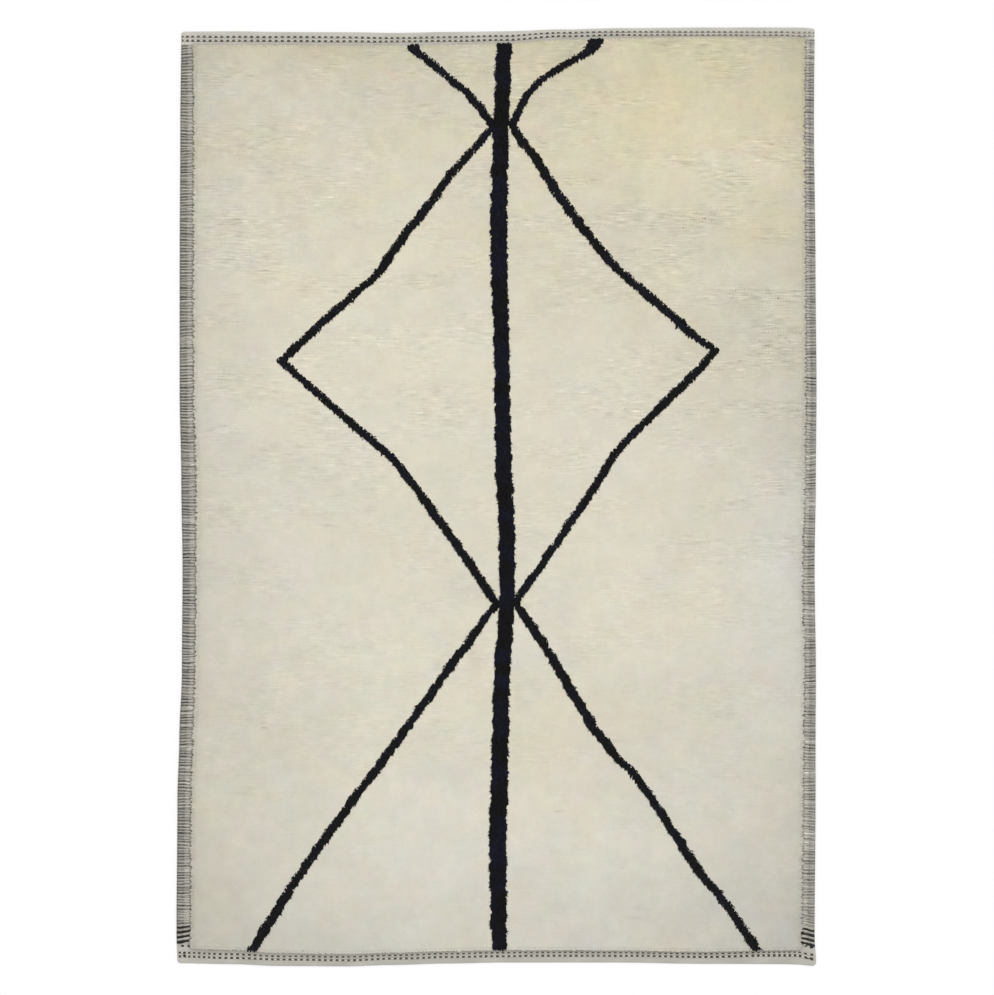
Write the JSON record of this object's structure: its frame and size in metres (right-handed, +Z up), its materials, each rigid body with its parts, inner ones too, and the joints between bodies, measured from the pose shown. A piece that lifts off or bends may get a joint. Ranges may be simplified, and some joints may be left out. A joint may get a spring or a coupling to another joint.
{
  "type": "tulu rug",
  "caption": "Hand-knotted ivory wool pile rug with dark crossing lozenge lines, flat-woven hemmed ends and lashed black-and-ivory sides, lying flat.",
  "frame": {"origin": "on the floor under the middle of the rug", "axes": "+Z up out of the pile, +X across the rug, +Y along its warp to the end that is woven last"},
  "size_m": [2.0099, 2.948, 0.018],
  "materials": {
    "ivory_pile": "undyed ivory sheep's wool pile, matt with a slight lustre, uneven from yarn to yarn",
    "dark_pile": "navy-black dyed wool pile, matt",
    "foundation": "greyish ivory flat weave of wool over cotton warps, matt",
    "selvedge_lashing": "black and ivory wool yarn lashed in turn, matt",
    "twined_cord": "dark brown wool yarn twined with ivory, matt"
  },
  "bodies": {
    "root": {"rug_body": "ivory_pile", "selvedge_left": "selvedge_lashing", "selvedge_right": "selvedge_lashing", "twining_top_outer": "twined_cord", "twining_top_inner": "twined_cord", "twining_bottom_inner": "twined_cord", "twining_bottom_outer": "twined_cord"}
  },
  "joints": []
}
